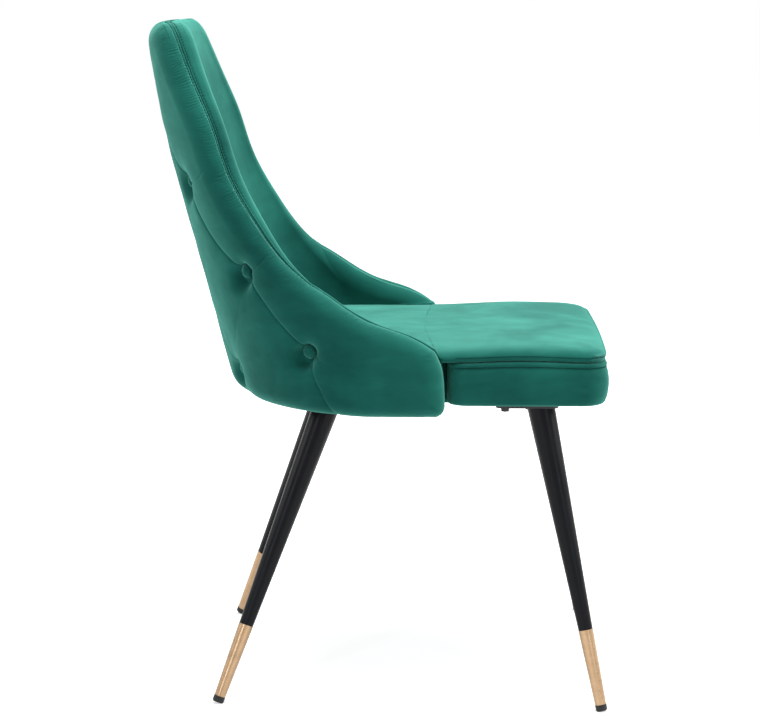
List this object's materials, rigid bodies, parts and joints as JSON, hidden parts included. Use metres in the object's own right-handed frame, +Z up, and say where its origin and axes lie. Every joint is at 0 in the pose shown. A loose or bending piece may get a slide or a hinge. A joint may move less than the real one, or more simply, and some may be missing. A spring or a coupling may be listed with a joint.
{
  "type": "dining chair",
  "caption": "Dining chair with a winged, button-tufted velvet shell back, a padded seat and splayed round tapered black legs with gold ferrules.",
  "frame": {"origin": "centre of the footprint of the whole chair, on the floor", "axes": "+Z up, the sitter faces -Y, +X to the sitter's left, the chair mirrors about X = 0"},
  "size_m": [0.496, 0.5993, 0.8688],
  "materials": {
    "velvet_outer": "emerald green cotton-look velvet, short pile with a soft sheen at glancing angles",
    "velvet_inner": "the same emerald velvet, pulled smooth over the inner face",
    "velvet_seat": "the same emerald velvet on the seat cushion",
    "velvet_button": "emerald velvet covered button",
    "foam": "cream upholstery foam",
    "plywood": "bare birch plywood, edges unsealed",
    "dust_cloth": "black non-woven dust cloth",
    "leg_black": "satin black powder coat on steel tube",
    "ferrule_gold": "satin champagne gold plating",
    "glide_plastic": "black moulded glide",
    "black_steel": "black powder-coated steel plate",
    "zinc_steel": "bright zinc-plated steel"
  },
  "bodies": {
    "root": {"seat_board": "plywood", "seat_foam": "foam", "seat_boxing": "velvet_seat", "seat_top_panel": "velvet_seat", "seat_dust_cover": "dust_cloth", "back_board": "plywood", "back_rail": "plywood", "back_inner_pad": "velvet_inner", "back_outer_pad": "velvet_outer", "back_buttons": "velvet_button", "back_straps": "black_steel", "strap_screws": "zinc_steel", "leg_bolts": "zinc_steel", "leg_washers": "zinc_steel", "leg_tee_nuts": "zinc_steel", "leg_front_left": "leg_black", "ferrule_front_left": "ferrule_gold", "glide_front_left": "glide_plastic", "leg_plate_front_left": "black_steel", "leg_front_right": "leg_black", "ferrule_front_right": "ferrule_gold", "glide_front_right": "glide_plastic", "leg_plate_front_right": "black_steel", "leg_rear_left": "leg_black", "ferrule_rear_left": "ferrule_gold", "glide_rear_left": "glide_plastic", "leg_plate_rear_left": "black_steel", "leg_rear_right": "leg_black", "ferrule_rear_right": "ferrule_gold", "glide_rear_right": "glide_plastic", "leg_plate_rear_right": "black_steel"}
  },
  "joints": []
}
